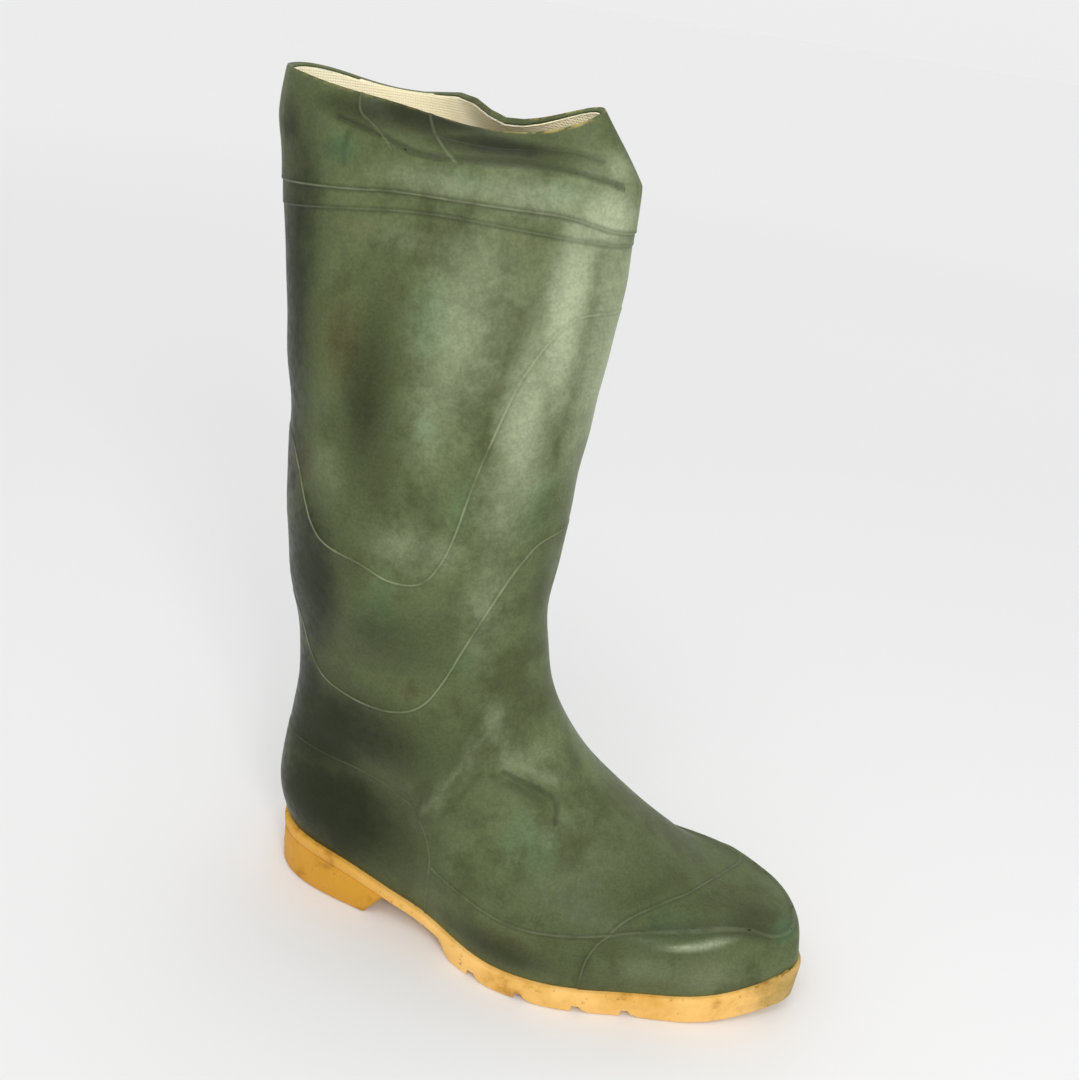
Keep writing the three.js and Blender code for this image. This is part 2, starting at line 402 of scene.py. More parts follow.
last = copy_of("upper")
bmesh.ops.join_triangles(
    last,
    faces=last.faces,
    angle_face_threshold=math.pi,
    angle_shape_threshold=math.pi,
    topology_influence=2,
)
outer = set(outer_face(last))
bmesh.ops.delete(last, geom=[f for f in last.faces if f not in outer], context="FACES")
crease = last.edges.layers.float.new("crease_edge")
high_edges = [e for e in last.edges if e.verts[0].co.z > FOLD_FROM * HEIGHT]
fold = [e for e in high_edges if e.calc_face_angle(0) > FOLD_ANGLE]
for edge in fold:
    edge[crease] = FOLD_CREASE
print(len(last.faces), "faces of the grid are outside, and the fold has", len(fold), "edges")

# %% [markdown]
# ## Lines on the boot
#
# Panel edges and creases are drawn as a seamstress would: a few points, joined by a
# smooth line. A point's distance to such a line, with a sign for its side, is all that
# is needed to raise a panel, press in a crease, or colour a worn edge.

# %% Lines and distances
LINE_STEPS = 6


def smooth_line(points):
    """A smooth curve through the points (Catmull-Rom), as rows of closer points."""
    points = np.array(points, float)
    before = np.vstack([2 * points[0] - points[1], points, 2 * points[-1] - points[-2]])
    rows = []
    for a, b, c, d in zip(before, before[1:], before[2:], before[3:]):
        for t in np.arange(LINE_STEPS) / LINE_STEPS:
            bend = 2 * a - 5 * b + 4 * c - d + t * (3 * (b - c) + d - a)
            rows.append(b + 0.5 * t * (c - a + t * bend))
    return np.array([*rows, points[-1]])


def nearest_on(places, line):
    """For each place: the vector from its nearest point on the line, and that stretch of line."""
    run = line[1:] - line[:-1]
    away = places[:, None] - line[None, :-1]
    share = np.clip((away * run).sum(2) / (run**2).sum(1), 0, 1)
    away = away - share[..., None] * run
    best = (away**2).sum(2).argmin(1)
    rows = np.arange(len(places))
    return away[rows, best], run[best], (best + share[rows, best]) / len(run)


def side_of(places, line):
    """Distance to a line in a plane, positive on the left of its direction."""
    away, run, _ = nearest_on(places, line)
    turn = run[:, 0] * away[:, 1] - run[:, 1] * away[:, 0]
    return np.copysign(np.linalg.norm(away, axis=1), turn)


def soft(distance, width):
    """A soft hump, 1 on the line and gone about two widths away."""
    return np.exp(-((distance / width) ** 2))


def ease(value, low, high):
    share = np.clip((value - low) / (high - low), 0, 1)
    return share * share * (3 - 2 * share)


print("a line through 4 points has", len(smooth_line([(0, 0), (1, 0), (2, 1), (3, 3)])), "rows")

# %% [markdown]
# The shaft of a worn boot isn't a tube: the collar has folded in, the rubber has set in
# creases at the ankle, and the side has sunk a little between the heel and the shin.
# Each crease is a line drawn on one side, with how far it stands out and how wide it is;
# a dent is a single mark. Round the toe the guard makes a shoulder under a hollow. Last,
# the foot is trimmed level with the floor where it is narrower than the last.

# %% Creases and dents
OUTER, INNER = -1, 1
CREASES = [  # side, (along, up) marks, height, width
    (OUTER, [(125, 156), (120, 144), (113, 129), (106, 116), (99, 103), (92, 89), (88, 76)],
     2.4, 3.6),
    (OUTER, [(116, 154), (109, 137), (101, 120), (94, 107), (86, 92), (82, 78)], -1.8, 4.2),
    (OUTER, [(119, 119), (112, 106), (104, 93), (98, 82)], -0.9, 4),
    (OUTER, [(124, 111), (135, 106.5), (146, 101), (154, 95)], -1.1, 4.5),
    (OUTER, [(120, 122), (133, 118), (146, 111.5), (158, 103)], 1.3, 5),
    (OUTER, [(22, 409), (19, 401), (18, 394), (19, 387)], -1.0, 4),
    (OUTER, [(46, 350), (48, 310), (47, 270), (44, 235)], -1.8, 15),
    (OUTER, [(66, 356), (70, 310), (66, 262)], 0.8, 11),
    (OUTER, [(14, 330), (19, 290), (16, 250)], 0.6, 9),
    (INNER, [(110, 152), (104, 130), (95, 108)], -1.5, 4.5),
    (INNER, [(117, 148), (112, 128), (104, 108)], 1.0, 4),
    (INNER, [(128, 120), (140, 109), (158, 98)], -1.5, 3.6),
    (INNER, [(30, 300), (36, 260), (34, 220)], -1.6, 14),
    (INNER, [(86, 404), (84, 394), (85, 386)], -1.3, 4),
]
DENTS = [  # (along, across, up), height, width
    ((43, -21, 393), -1.2, 4),
    ((105, -30, 290), 1.2, 22),
    ((20, -30, 200), -1.2, 25),
    ((60, -34, 190), 1.0, 20),
    ((70, 45, 260), -1.5, 30),
    ((100, 40, 120), -1.2, 14),
    ((119, 20, 180), -1.0, 14),
    ((88, -30, 330), -0.7, 14),
]
WAVES = [  # up-and-down waves along the leg: height, length, slant, start
    (0.5, 95, 0.5, 0.0),
    (0.35, 61, -0.8, 1.3),
    (0.22, 37, 0.3, 2.1),
]
TOE_FROM, TOE_TO = 178, 238  # the shoulder comes in over this stretch
SHOULDER = [(46.5, 3.8, 1.4), (55, 5, -1.2)]  # up, width, height
OUTER_TRIM = [(98, 20, -3.0), (222, 34, -2.4), (140, 16, 1.0)]  # along, length, amount
OUTER_WALL, LOW_WALL = (0, 25), (20, 55)  # it comes in over this width, and ends over this height
TOE_TRIM = -5.2  # worn off the inner corner of the toe, below the shoulder
TIP_ALONG, TIP_ACROSS, TIP_UP = (272, 292), (-14, 6), (30, 46)
TOE_SHOULDER = 2.4  # and the shoulder stands out over it
OVERHANG_ALONG, OVERHANG_UP, OVERHANG_WIDTH = (262, 284), 45, 6
END_FADE = 0.2  # a crease fades over this part of its length at each end
END_DEPTH = 0.25  # to this part of its height
LEG_FROM = (60, 140)  # the leg's waves begin over this height


def side_view(at):
    return at[:, [0, 2]]


def crease_shape(at, side, line, width):
    """1 along the crease, fading to its ends, its flanks and the other side."""
    away, _, share = nearest_on(side_view(at), smooth_line(line))
    middle = ease(share, 0, END_FADE) * (1 - ease(share, 1 - END_FADE, 1))
    fade = END_DEPTH + (1 - END_DEPTH) * middle
    return fade * soft(np.linalg.norm(away, axis=1), width) * ease(at[:, 1] * side, 0, 8)


def form(places):
    """How far the worn boot stands out from the last, in millimetres."""
    at = marks(places)
    height = np.zeros(len(at))
    for side, line, amount, width in CREASES:
        height += amount * crease_shape(at, side, line, width)
    for place, amount, width in DENTS:
        height += amount * soft(np.linalg.norm(at - place, axis=1), width)
    leg = ease(at[:, 2], *LEG_FROM)
    for amount, length, slant, start in WAVES:
        phase = (at[:, 2] + slant * at[:, 0] + 0.4 * at[:, 1]) / length
        height += amount * leg * np.sin(2 * math.pi * phase + start)
    for up, width, amount in SHOULDER:
        height += amount * ease(at[:, 0], TOE_FROM, TOE_TO) * soft(at[:, 2] - up, width)
    return height


def trim(places):
    """How far the foot is wider than the last, level with the floor, in millimetres."""
    at = marks(places)
    tip = ease(at[:, 0], *TIP_ALONG) * ease(at[:, 1], *TIP_ACROSS) * (1 - ease(at[:, 2], *TIP_UP))
    overhang = soft(at[:, 2] - OVERHANG_UP, OVERHANG_WIDTH)
    width = TOE_TRIM * tip + TOE_SHOULDER * ease(at[:, 0], *OVERHANG_ALONG) * overhang
    low_outer = ease(-at[:, 1], *OUTER_WALL) * (1 - ease(at[:, 2], *LOW_WALL))
    for along, length, amount in OUTER_TRIM:
        width += amount * soft(at[:, 0] - along, length) * low_outer
    return width


FINE = [  # lowest and highest marks of the parts whose creases need a finer grid
    ((72, -70, 70), (176, 4, 178)),
    ((-25, -40, 378), (150, 4, 430)),
]
skin = settle(last, "SUBSURF", levels=2, render_levels=2)
for low, high in FINE:
    low, high = spot(*low), spot(*high)
    inside = {v for v in skin.verts if all(a < c < b for a, c, b in zip(low, v.co, high))}
    edges = [e for e in skin.edges if e.verts[0] in inside and e.verts[1] in inside]
    bmesh.ops.subdivide_edges(skin, edges=edges, cuts=1, use_grid_fill=True)
places = spots_of(skin)
facings = facings_of(skin)
sideways = facings * [1, 1, 0] / np.linalg.norm(facings[:, :2], axis=1)[:, None].clip(0.1)
move_to(skin, places + (facings * form(places)[:, None] + sideways * trim(places)[:, None]) * MM)
print("skin:", len(skin.verts), "vertices")

# %% [markdown]
# ## Panels moulded into the rubber
#
# The boot is built up from sheets: the thin leg, a thicker panel round calf and shin,
# another round ankle and heel, a guard strip along the sole, the toe cap, and two bands
# under the collar. Where a sheet ends there is a small step with a worn lip. To keep
# that step crisp, the skin is first cut along each edge, and only then raised.

# %% Panel edges
CALF = [(155, 344), (133, 346), (121, 340), (109, 319), (103, 300), (94, 265), (89, 241), (84, 225),
        (76, 213), (61, 211), (45, 216), (27, 219), (18, 225), (11, 238), (7, 250), (0, 262),
        (-15, 266)]
ANKLE = [(150, 238), (128, 238), (118, 226), (107, 201), (98, 178), (90, 157), (82, 143), (70, 136),
         (51, 133), (36, 134), (25, 138), (16, 149), (9, 163), (0, 174), (-15, 177)]
LOW_BAND = [(-30, 364), (-12, 367), (22, 373), (51, 377), (79, 378), (120, 376), (160, 373)]
HIGH_BAND = [(-30, 375), (-12, 377), (22, 381), (48, 384), (100, 385), (118, 384), (136, 380),
             (160, 379)]
COUNTER = [(98, 0), (98, 17), (99, 48), (97, 62), (91, 76), (80, 86), (60, 90), (25, 91), (-15, 92)]
GUARD = [(320, 45), (283, 44), (267, 46), (245, 48.5), (210, 50), (180, 46.5), (145, 45), (114, 50),
         (94, 56)]
TOE_CAP = [(-110, 186), (-93, 186), (-77, 187), (-64, 191), (-57, 196), (-50, 202), (-41, 211),
           (-29, 222), (-16, 233), (8, 248), (24, 257), (33, 255), (42, 240), (50, 218), (60, 200),
           (76, 190), (110, 187)]
FOLD = [(14, 408), (25, 406), (35, 404), (42, 402), (54, 400), (75, 400.5), (99, 402), (112, 402),
        (124, 400.5), (136, 398)]
FOLD_ABOVE = [(46, 409), (60, 406.5), (78, 405.5), (96, 407), (112, 408.5), (124, 407)]
FLEX = [(127, 114), (134, 110.5), (141, 107), (148, 103.5), (153, 100), (156, 95.5), (157, 91)]
PATCH_BACK = [(22, 424), (22, 416), (24, 411), (29, 408), (35, 404), (40, 400)]
PATCH_FRONT = [(46, 420), (51, 412), (56, 406.5), (62, 402), (68, 399)]
TOE_CAP_SHIFT = 10.3  # the toe cap's across marks start from the middle of the heel
GUARD_TOP = 48


def over_toe(at):
    """Across the top of the foot and on down its sides, against along."""
    across = at[:, 1] - TOE_CAP_SHIFT
    down = np.maximum(GUARD_TOP - at[:, 2], 0)
    return np.stack([across + np.copysign(down, across), at[:, 0]], 1)


# The last two are painted: a highlight with some wear on the edge, shade with some grime in its
# crevice.
EDGES = {  # line, view it is drawn in, height of the step, lip, highlight and wear, shade and grime
    "calf": (CALF, side_view, 0.3, 0.15, 0.4, 0.25),
    "ankle": (ANKLE, side_view, 0.3, 0.15, 0.35, 0.25),
    "low_band": (LOW_BAND, side_view, 0.35, 0.1, 0.12, 0.5),
    "high_band": (HIGH_BAND, side_view, 0.5, 0.2, 0.3, 0.6),
    "counter": (COUNTER, side_view, 0.3, 0, 0.12, 0.15),
    "guard": (GUARD, side_view, 0.65, 0.25, 0.12, 0.45),
    "toe_cap": (TOE_CAP, over_toe, 0.45, 0.1, 0.15, 0.4),
    # the fold and the flex crease only hold painted shade
    "fold": (FOLD, side_view, 0, -0.5, 0, 0.7),
    "fold_above": (FOLD_ABOVE, side_view, 0, -0.35, 0, 0.4),
    "flex": (FLEX, side_view, 0, -0.5, 0, 0.55),
    "patch_back": (PATCH_BACK, side_view, 0, 0.25, 0.16, 0.3),
    "patch_front": (PATCH_FRONT, side_view, 0, 0.25, 0.16, 0.3),
}
ANY = math.inf
REACH = {  # an edge is only there from an along mark on, between two up marks, to an across mark
    "guard": (98, -ANY, 100, ANY),
    "toe_cap": (150, -ANY, ANY, ANY),
    "counter": (-ANY, -ANY, 190, ANY),
    "fold": (-ANY, 390, ANY, 0),
    "fold_above": (-ANY, 390, ANY, 0),
    "patch_back": (-ANY, 390, ANY, 0),
    "patch_front": (-ANY, 390, ANY, 0),
    "flex": (-ANY, 70, 130, 0),
}
FAR = -30  # the distance that is given where an edge isn't there
STEP_CUTS = (-0.5, 0, 0.75)  # the step rises between these distances
STEEPEST = 2  # a distance that changes faster than this along an edge has jumped, and isn't cut
SNAP = 0.12  # a cut this near the end of an edge moves that end


def edge_distances(at):
    found = {
        name: side_of(view(at), smooth_line(line)) for name, (line, view, *_) in EDGES.items()
    }
    for name, (least, low, high, across) in REACH.items():
        outside = (at[:, 0] < least) | (at[:, 2] < low) | (at[:, 2] > high) | (at[:, 1] > across)
        found[name][outside] = FAR
    return found


def cut_where(mesh, layer, level, placed):
    """New edges along the line where an amount stored on the vertices passes a level."""
    on_line = set()
    for edge in list(mesh.edges):
        start, end = edge.verts
        low, high = start[layer] - level, end[layer] - level
        if low * high >= 0 or abs(high - low) > STEEPEST * edge.calc_length() / MM:
            continue
        share = low / (low - high)
        vert = start if share < 0.5 else end
        if min(share, 1 - share) < SNAP and vert not in placed:
            vert.co = start.co.lerp(end.co, share)
        else:
            _, vert = bmesh.utils.edge_split(edge, start, share)
        vert[layer] = level
        on_line.add(vert)
    placed |= on_line
    bmesh.ops.connect_verts(mesh, verts=list(on_line), check_degenerate=True)
    return len(on_line)


rubber = skin.copy()
for name in EDGES:
    layer = rubber.verts.layers.float.new("cut_" + name)
    for vert, distance in zip(rubber.verts, edge_distances(marks(spots_of(rubber)))[name]):
        vert[layer] = distance
    placed = set()  # these stay where they are when the next level is cut
    cuts = sum(cut_where(rubber, layer, level, placed) for level in STEP_CUTS)
    rubber.verts.layers.float.remove(layer)
    print(f"{name} cut at {cuts} places")

# %% [markdown]
# The rubber gets its thickness before the panels are raised: a copy of the skin, turned
# inside out and moved in by one wall, is bridged to it at the rim and at the foot.

# %% Rubber wall
RUBBER_WALL = 1.6


def border_of(faces):
    """Edges that only one of these faces has."""
    inside = set(faces)
    return [e for f in faces for e in f.edges if sum(g in inside for g in e.link_faces) == 1]


def add_wall(mesh, thickness):
    """Closes an open skin into a wall that reaches inwards. Returns the vertices outside."""
    mesh.normal_update()
    outside = list(mesh.faces)
    skin_verts = list(mesh.verts)
    made = bmesh.ops.duplicate(mesh, geom=outside)
    inside = [g for g in made["geom"] if isinstance(g, bmesh.types.BMFace)]
    for vert in skin_verts:
        made["vert_map"][vert].co = vert.co - vert.normal * thickness * MM
    bmesh.ops.reverse_faces(mesh, faces=inside)
    borders = border_of(outside) + border_of(inside)
    for at_rim in (True, False):
        ring = [e for e in borders if (e.verts[0].co.z > HEIGHT / 2) == at_rim]
        bmesh.ops.bridge_loops(mesh, edges=ring)
    bmesh.ops.recalc_face_normals(mesh, faces=mesh.faces)
    return skin_verts


skin_verts = add_wall(rubber, RUBBER_WALL)
print("rubber closed:", all(len(e.link_faces) == 2 for e in rubber.edges))

# %% [markdown]
# Now the panels rise. Each edge has a narrow lip, a step, and behind it the full height.
# Their distances also go into the mesh, for the finish: `seam` says how far the nearest
# edge is; a second amount says how much painted highlight and wear that edge gets, and a
# third how much painted shade and grime lies in its crevice.

# %% Raised panels
SEAM_REACH = 6
GUARD_GROOVE = -0.25
GROOVE_BEFORE = 1.8
GROOVE_WIDTH = 1.4


def step_shape(distance, height, lip):
    """Rises over the width of the cuts, with a lip that is highest just behind the edge."""
    low, edge, full = STEP_CUTS
    ridge = np.interp(distance, [low, edge, full, 2 * full], [0, 1, 0.5, 0])
    return height * np.interp(distance, [low, edge, full], [0, 0.8, 1]) + lip * ridge


at = marks(np.array([v.co for v in skin_verts]))
distances = edge_distances(at)
relief = np.zeros(len(at))
seam = np.full(len(at), float(SEAM_REACH))
edge_wear_and_highlight = np.zeros(len(at))
seam_shade_and_grime = np.zeros(len(at))
# worn and dirty here are an edge's painted highlight with wear, and painted shade with grime
for name, (_, _, height, lip, worn, dirty) in EDGES.items():
    relief += step_shape(distances[name], height, lip)
    nearer = np.abs(distances[name]) < seam
    seam[nearer] = np.abs(distances[name])[nearer]
    edge_wear_and_highlight[nearer] = worn
    seam_shade_and_grime[nearer] = dirty
relief += GUARD_GROOVE * soft(distances["guard"] + GROOVE_BEFORE, GROOVE_WIDTH)
facings = np.array([v.normal for v in skin_verts])
for vert, facing, height in zip(skin_verts, facings, relief):
    vert.co += Vector(facing) * float(height) * MM
print(f"panels stand up to {relief.max():.1f} mm proud")

# %% [markdown]
# ## Painting wear, shade and highlights
#
# Dust, teal bloom, brown stains and dark, unworn rubber lie where this boot has them;
# with them go painted shade, down the back of the leg, round the heel and over the collar,
# and painted highlights down the shaft's front, on the ankle's ridges and along the toe's guard.
# Each is a few soft touches of a brush: where on the side, how long, how tall, how
# strong. The finish breaks their borders up with noise, so no touch shows its outline.

# %% Painted wear
TOUCHES = {  # along, up, half length, half height, strength; on the outer side
    # dark: unworn rubber, and painted shade at the back of the leg, the heel and above the fold
    "dark_and_shade": [
        (-10, 290, 24, 130, 1.1), (-12, 400, 14, 22, 0.7), (42, 298, 17, 56, 0.7),
        (28, 322, 18, 30, 0.4), (50, 258, 13, 40, 0.45), (48, 413, 56, 8, 0.9),
        (80, 407, 36, 5.5, 0.9), (10, 395, 20, 9, 0.4), (35, 60, 62, 42, 1.1),
        (20, 100, 50, 36, 1.0), (12, 120, 22, 48, 1.0), (88, 100, 10, 24, 0.5),
        (12, 190, 28, 56, 1.1), (40, 116, 64, 30, 0.9), (54, 176, 52, 32, 0.5),
        (20, 140, 40, 20, 0.6), (128, 206, 6, 22, 0.5), (140, 28, 42, 14, 0.7),
        (212, 60, 30, 5, 0.5), (186, 34, 9, 16, 0.5), (272, 52, 26, 9, 0.7),
        (100, 112, 14, 22, 0.4), (205, 55, 85, 45, 0.38),
    ],
    # worn: dust and rubbed rubber, and painted highlights down the shaft's front, on the ankle, on
    # the toe
    "worn": [
        (82, 335, 28, 56, 0.6), (72, 296, 14, 34, 0.5), (122, 345, 11, 54, 1.2),
        (112, 300, 13, 54, 0.95), (108, 262, 16, 34, 0.6), (136, 330, 12, 72, 0.85),
        (132, 386, 16, 16, 1.1), (104, 391, 44, 10, 0.7), (70, 390, 40, 9, 0.6),
        (60, 366, 40, 8, 0.4), (118, 139, 9, 18, 0.5), (110, 120, 9, 16, 0.42),
        (132, 119, 22, 10, 0.42), (99, 98, 5, 22, 0.4), (112, 68, 20, 20, 0.2),
        (218, 34, 30, 11, 0.4), (248, 32, 22, 12, 0.4), (240, 46.5, 18, 1.6, 1.3),
        (72, 230, 30, 16, 0.5), (105, 205, 12, 40, 0.5), (178, 72, 26, 12, 0.3),
        (24, 255, 10, 26, 0.35), (158, 88, 22, 12, 0.3), (134, 408, 11, 10, 0.9),
    ],
    "teal": [
        (66, 335, 14, 26, 0.6), (70, 292, 10, 16, 0.5), (92, 255, 12, 24, 0.4),
        (72, 392, 16, 8, 0.6), (122, 255, 10, 26, 0.5), (104, 393, 20, 8, 0.6),
        (150, 82, 30, 22, 0.5), (284, 46, 10, 4, 0.9), (230, 52, 26, 7, 0.4),
        (56, 200, 18, 26, 0.4), (17, 396, 12, 9, 0.6), (100, 170, 16, 20, 0.4),
        (130, 392, 14, 8, 0.5),
    ],
    "brown": [
        (26, 320, 16, 30, 0.6), (28, 366, 22, 10, 0.4), (8, 260, 10, 50, 0.6),
        (96, 372, 26, 6, 0.4), (75, 126, 26, 14, 0.3), (140, 34, 36, 12, 0.6),
        (222, 24, 24, 8, 0.4), (132, 410, 8, 8, 0.5), (60, 150, 34, 9, 0.4), (84, 330, 12, 22, 0.3),
        (250, 34, 26, 10, 0.4), (165, 62, 16, 10, 0.3),
    ],
}
RIM_FROM = 0.95  # the rim lies above this part of the height
CREASE_SHADING = 0.45  # a crease is painted too: painted shade in a trough, a painted highlight on a ridge
BROAD = 9  # but a crease wider than this is only a change of form
INNER_SHIFT = (14, -22)  # the inner side wears in other places
SIDES_MEET = (-4, 14)  # and one side's wear passes into the other's over this width


def paint(places, touches):
    at = marks(places)
    amounts = []
    for shift_along, shift_up in ((0, 0), INNER_SHIFT):
        amount = np.zeros(len(at))
        for along, up, half_length, half_height, strength in touches:
            across = ((at[:, 0] - along - shift_along) / half_length) ** 2
            height = ((at[:, 2] - up - shift_up) / half_height) ** 2
            amount = np.maximum(amount, strength * np.exp(-across - height))
        amounts.append(amount)
    inner = ease(at[:, 1], *SIDES_MEET)
    return amounts[0] * (1 - inner) + amounts[1] * inner


def paint_crease_shading(places, troughs):
    at = marks(places)
    amount = np.zeros(len(at))
    for side, line, height, width in CREASES:
        if width < BROAD and (height < 0) == troughs:
            amount = np.maximum(amount, CREASE_SHADING * crease_shape(at, side, line, 0.8 * width))
    return amount


painted = {name: paint(spots_of(rubber), touches) for name, touches in TOUCHES.items()}
# Painted shade in the troughs goes with the dark, painted highlights on the ridges with the worn.
painted["dark_and_shade"] = np.maximum(painted["dark_and_shade"], paint_crease_shading(spots_of(rubber), True))
painted["worn"] = np.maximum(painted["worn"], paint_crease_shading(spots_of(rubber), False))
rim_line = np.array([v.co for e in border_of(skin.faces) for v in e.verts if v.co.z > HEIGHT / 2])
painted["rim"] = np.full(len(rubber.verts), float(SEAM_REACH))
for index, place in enumerate(spots_of(rubber)):
    if place[2] > RIM_FROM * HEIGHT:
        painted["rim"][index] = np.linalg.norm(rim_line - place, axis=1).min() / MM
hidden = len(rubber.verts) - len(skin_verts)
painted["seam"] = np.append(seam, np.full(hidden, SEAM_REACH))
painted["edge_wear_and_highlight"] = np.append(edge_wear_and_highlight, np.zeros(hidden))
painted["seam_shade_and_grime"] = np.append(seam_shade_and_grime, np.zeros(hidden))
print("painted:", sorted(painted))

# %% [markdown]
# ## Green rubber
#
# Old rubber is never one green. The base is olive; dark areas (unworn rubber and painted
# shade), worn ones (dust and painted highlights), teal and brown ones lie over it, each
# broken by noise of its own size; panel edges carry painted highlights and wear, their
# crevices painted shade and grime; and a film of dust makes the worn places duller than
# the dark ones.

# %% Green rubber finish
# The darkest green is unworn rubber and painted shade; the palest, dust and painted highlights.
DARK_RUBBER_AND_SHADE = shade_of(25, 30, 4)
OLIVE = shade_of(82, 90, 56)
MOSS = shade_of(108, 120, 80)
DUST_AND_HIGHLIGHT = shade_of(180, 190, 156)
TEAL = shade_of(92, 126, 88)
BROWN = shade_of(100, 96, 58)
EDGE_WEAR_AND_HIGHLIGHT = shade_of(172, 180, 142)
SHADE_AND_GRIME = shade_of(36, 39, 24)
TAN = shade_of(206, 180, 104)


def green_rubber():
    finish = Finish("green_rubber")
    cloud = finish.noise(55, detail=4)
    smear = finish.noise(16, detail=5, rough=0.6, stretch=(1, 1, 0.45), shift=(0.3, 0.1, 0.7))
    patch = finish.noise(9, detail=6, rough=0.62, shift=(0.6, 0.2, 0.1))
    fleck = finish.noise(2.2, detail=4, shift=(0.1, 0.9, 0.4))
    grain = finish.noise(0.7, detail=2)
    mottle = cloud * 0.25 + smear * 0.4 + patch * 0.35
    broken = (mottle - 0.5) * 2.2 + (fleck - 0.5) * 0.3

    def area(name, low=0.28, high=0.8, roughly=1.0):
        return (finish.stored(name) + broken * roughly).ramp(low, high)

    colour = finish.blend(mottle.ramp(0.4, 0.62), OLIVE, MOSS)
    colour = finish.blend(area("brown") * 0.75, colour, BROWN)
    colour = finish.blend(area("teal") * 0.6, colour, TEAL)
    # worn: dust, and painted highlights
    colour = finish.blend(area("worn", 0.1, 1.3, 0.42), colour, DUST_AND_HIGHLIGHT)
    # dark: unworn rubber, and painted shade
    colour = finish.blend(area("dark_and_shade", 0.15, 1.0, 0.85) * 0.92, colour, DARK_RUBBER_AND_SHADE)
    salt = (grain * 0.6 + fleck * 0.4).ramp(0.36, 0.64)
    grey = finish.blend(salt, shade_of(96, 96, 92), shade_of(160, 160, 156))
    colour = finish.blend(0.4, colour, grey, "OVERLAY")
    # Painted shade with grime in crevices and folds, painted highlights with wear along edges.
    seam = finish.stored("seam")
    crevice_shade = seam.ramp(0.4, 2.2, 0.7, 0) * finish.stored("seam_shade_and_grime")
    edge = seam.ramp(0.1, 0.65, 1, 0) * finish.stored("edge_wear_and_highlight") * patch.ramp(0.35, 0.6, 0.35, 1)
    colour = finish.blend(crevice_shade, colour, SHADE_AND_GRIME)
    colour = finish.blend(edge, colour, EDGE_WEAR_AND_HIGHLIGHT)
    along = finish.node("SeparateXYZ", {}, {0: finish.place()}, output="X")
    front = along.ramp(HEEL_END + 70 * MM, HEEL_END + 100 * MM, 0.2, 1)
    frayed = (fleck * 0.5 + patch * 0.5).ramp(0.47, 0.55)
    rim = finish.stored("rim").ramp(0.3, 1.5, 1, 0) * front * frayed
    colour = finish.blend(rim, colour, TAN)
    roughness = fleck.ramp(0.3, 0.7, 0.36, 0.5) + area("worn") * 0.06 - area("dark_and_shade") * 0.04
    height = grain * 0.00006 + fleck * 0.00012 + patch * 0.0003 + smear * 0.0003
    bump = finish.node("Bump", {}, {"Strength": 0.7, "Distance": 1, "Height": height})
    return finish.surface(
        base_color=colour, roughness=roughness, normal=bump, specular_ior_level=0.17
    )


piece(rubber, "rubber_upper", green_rubber(), "upper", painted=painted)

# %% [markdown]
# ## The lining
#
# Inside the rubber is a bonded knit of undyed cotton. It is cut from the same skin, set
# in by the rubber's wall, and stops just short of the rim, where it has begun to fray.

# %% Cotton lining
LINING_WALL = 0.55
LINING_GAP = 0.05
LINING_SETBACK = 0.7
LEG_MIDDLE = 63  # along the foot, where the leg's axis stands
LEG_RADIUS = 60
WALE, COURSE = 1.5, 1.1  # one stitch of the knit, across and up

knit = skin.copy()
move_to(knit, spots_of(knit) - facings_of(knit) * (RUBBER_WALL + LINING_GAP) * MM)
for edge in border_of(knit.faces):
    for vert in edge.verts:
        if vert.co.z > HEIGHT / 2:
            vert.co.z -= LINING_SETBACK / 2 * MM
add_wall(knit, LINING_WALL)
knit_marks = marks(spots_of(knit))
around = np.abs(np.arctan2(knit_marks[:, 1], knit_marks[:, 0] - LEG_MIDDLE)) * LEG_RADIUS


def cotton_knit():
    finish = Finish("cotton_knit")
    cloud = finish.noise(18, detail=4)
    fuzz = finish.noise(0.5, detail=3)
    height = finish.node("SeparateXYZ", {}, {0: finish.place()}, output="Z")
    wales = (finish.stored("around") * (2 * math.pi / WALE)).math("SINE")
    courses = (height * (2 * math.pi / (COURSE * MM))).math("SINE")
    loops = wales.math("ABSOLUTE") + courses * 0.35
    colour = finish.blend(cloud.ramp(0.35, 0.7), shade_of(255, 250, 222), shade_of(250, 238, 200))
    colour = finish.blend(loops.ramp(-0.2, 0.5, 0.35, 0), colour, shade_of(188, 168, 122))
    # Painted shade: the lining darkens low inside the leg, where little light reaches.
    deep_shade = height.ramp(0.1, 0.4, 0.6, 0)
    colour = finish.blend(deep_shade, colour, shade_of(150, 134, 100))
    relief = loops * 0.00018 + fuzz * 0.0001
    bump = finish.node("Bump", {}, {"Strength": 0.7, "Distance": 1, "Height": relief})
    return finish.surface(base_color=colour, roughness=0.95, normal=bump, sheen_weight=0.2)


piece(knit, "cotton_lining", cotton_knit(), painted={"around": around})

# %% [markdown]
# ## Pieces that follow the foot's outline
#
# Insole, sole and heel all have the outline of the foot, seen from above, a little
# smaller or larger. So each is made from rings of that outline: extruded from one
# another, capped at both ends, sliced across the foot wherever the profile bends, and
# only then given its heights, which depend on the ring and on the place along the foot.

# %% Outline of the foot


